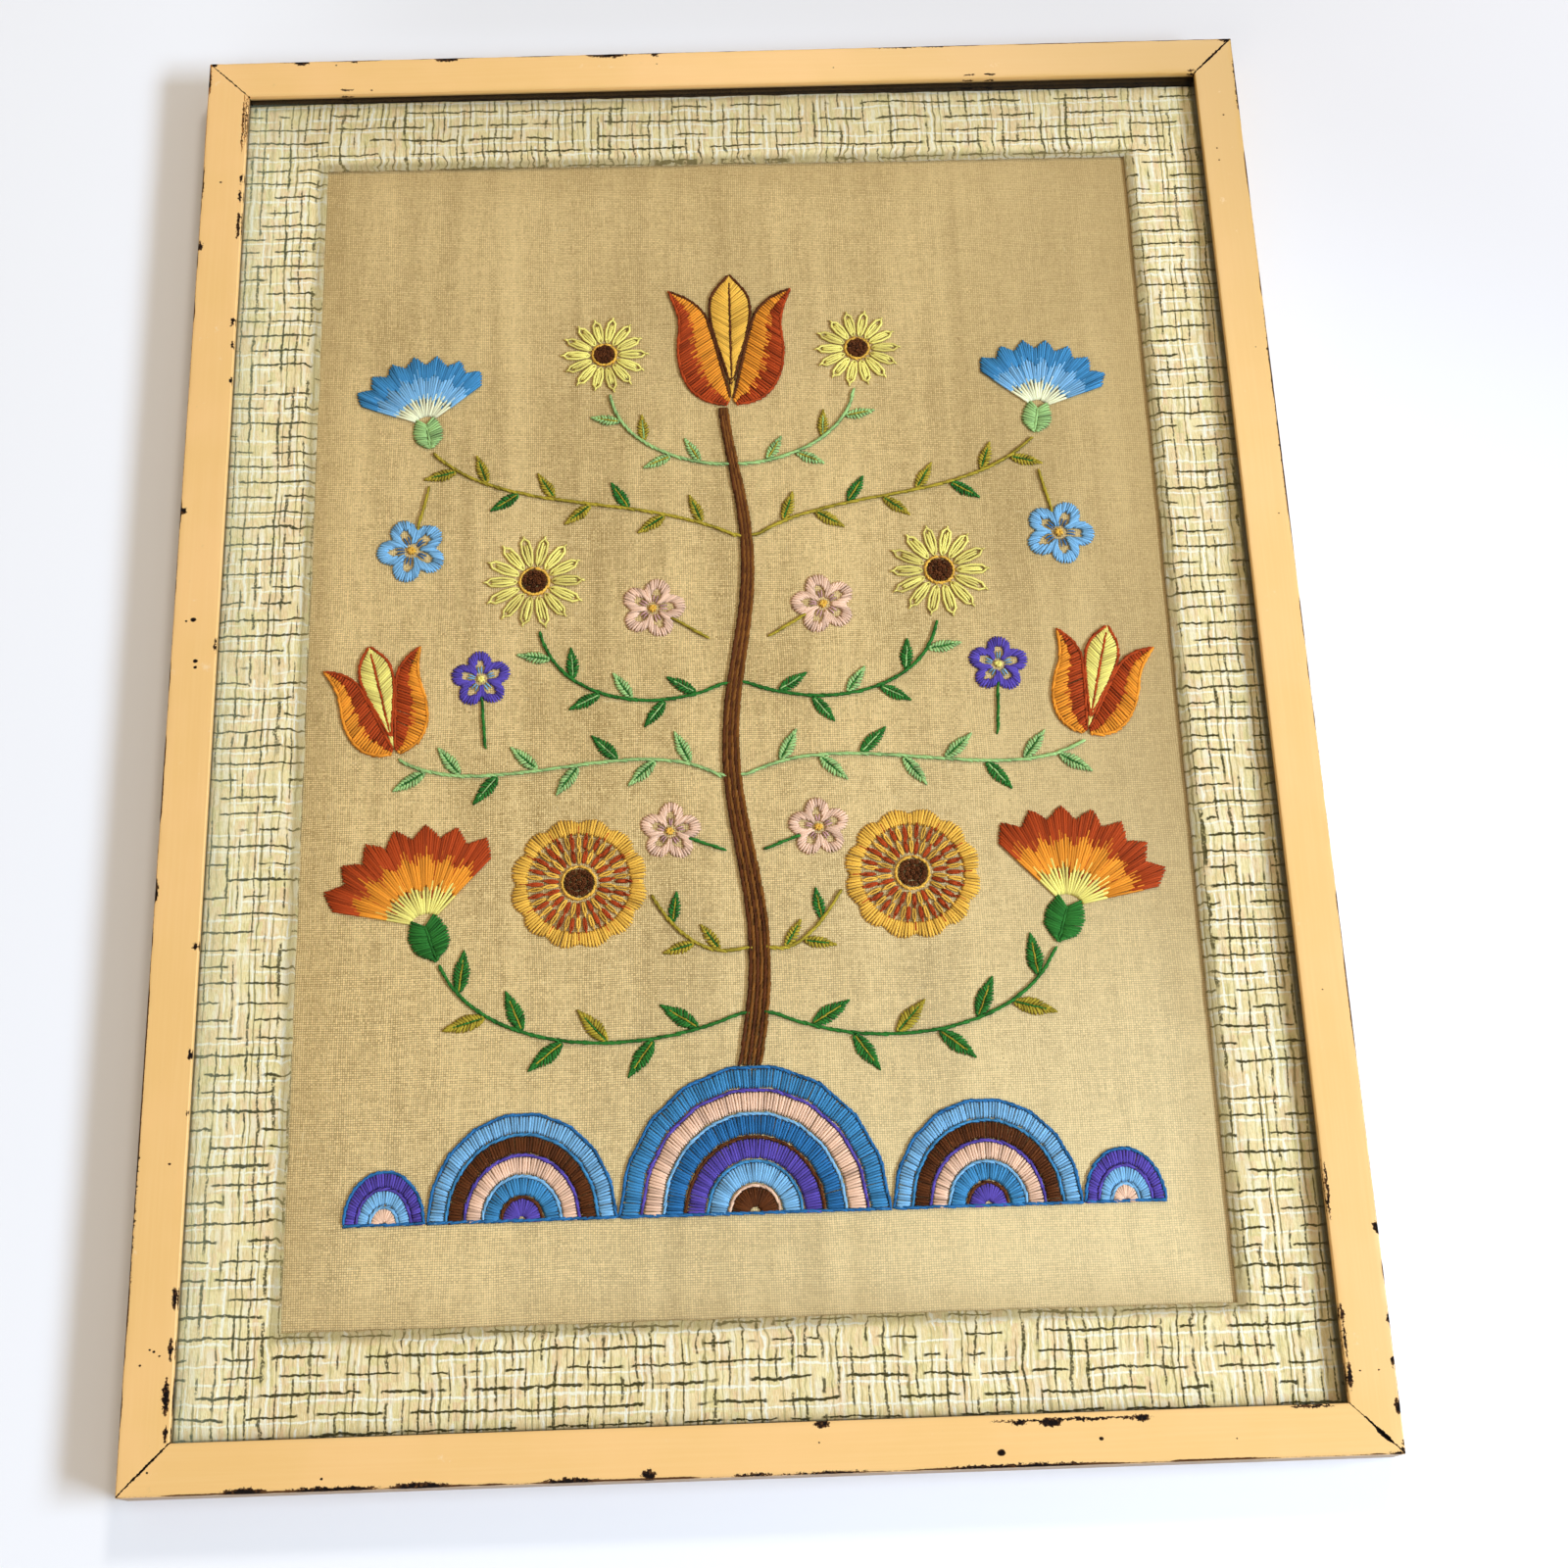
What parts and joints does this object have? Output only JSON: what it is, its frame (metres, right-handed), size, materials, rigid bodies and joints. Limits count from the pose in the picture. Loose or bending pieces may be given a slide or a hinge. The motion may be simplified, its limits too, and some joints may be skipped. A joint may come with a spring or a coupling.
{
  "type": "framed embroidery with its frame",
  "caption": "Embroidered linen panel in a cloth-covered mat under glass, in a narrow mitred frame of painted wood, lying on its back.",
  "frame": {"origin": "centre of the back, on the surface that the frame lies on", "axes": "+X to the right of the picture, +Y to its top, +Z out of its face"},
  "size_m": [0.406, 0.543, 0.016],
  "materials": {
    "frame_paint": "cream-yellow paint, worn and chipped to dark wood at its edges",
    "clear_glass": "clear, with a faint green cast",
    "mat_cloth": "slubby woven furnishing cloth, cream and tan with dark green broken lines",
    "tan_linen": "plain-woven linen, toned with age",
    "brown_board": "dark brown hardboard",
    "brown_thread": "dark brown stranded cotton",
    "rust_thread": "rust red stranded cotton",
    "gold_thread": "gold stranded cotton",
    "orange_thread": "orange stranded cotton",
    "yellow_thread": "pale yellow stranded cotton",
    "blue_thread": "mid blue stranded cotton",
    "sky_thread": "light blue stranded cotton",
    "violet_thread": "violet stranded cotton",
    "pink_thread": "salmon pink stranded cotton",
    "green_thread": "dark green stranded cotton",
    "mint_thread": "sage green stranded cotton",
    "olive_thread": "olive stranded cotton"
  },
  "bodies": {
    "root": {"rail_top": "frame_paint", "rail_bottom": "frame_paint", "rail_left": "frame_paint", "rail_right": "frame_paint", "glass": "clear_glass", "mat": "mat_cloth", "linen": "tan_linen", "backing": "brown_board", "stem": "brown_thread", "crown": "rust_thread", "mound_middle": "blue_thread", "mound_side_left": "sky_thread", "mound_side_right": "sky_thread", "mound_end_left": "violet_thread", "mound_end_right": "violet_thread", "branch_low_left": "green_thread", "branch_low_right": "green_thread", "branch_ring_left": "olive_thread", "branch_ring_right": "olive_thread", "branch_tulip_left": "mint_thread", "branch_tulip_right": "mint_thread", "branch_daisy_left": "green_thread", "branch_daisy_right": "green_thread", "branch_thistle_left": "olive_thread", "branch_thistle_right": "olive_thread", "branch_small_daisy_left": "mint_thread", "branch_small_daisy_right": "mint_thread", "carnation_left": "rust_thread", "carnation_right": "rust_thread", "ring_flower_left": "gold_thread", "ring_flower_right": "gold_thread", "tulip_left": "orange_thread", "tulip_right": "orange_thread", "daisy_left": "yellow_thread", "daisy_right": "yellow_thread", "thistle_left": "blue_thread", "thistle_right": "blue_thread", "small_daisy_left": "yellow_thread", "small_daisy_right": "yellow_thread", "star_high_left": "pink_thread", "star_high_right": "pink_thread", "star_side_left": "sky_thread", "star_side_right": "sky_thread", "star_middle_left": "violet_thread", "star_middle_right": "violet_thread", "star_low_left": "pink_thread", "star_low_right": "pink_thread"}
  },
  "joints": []
}
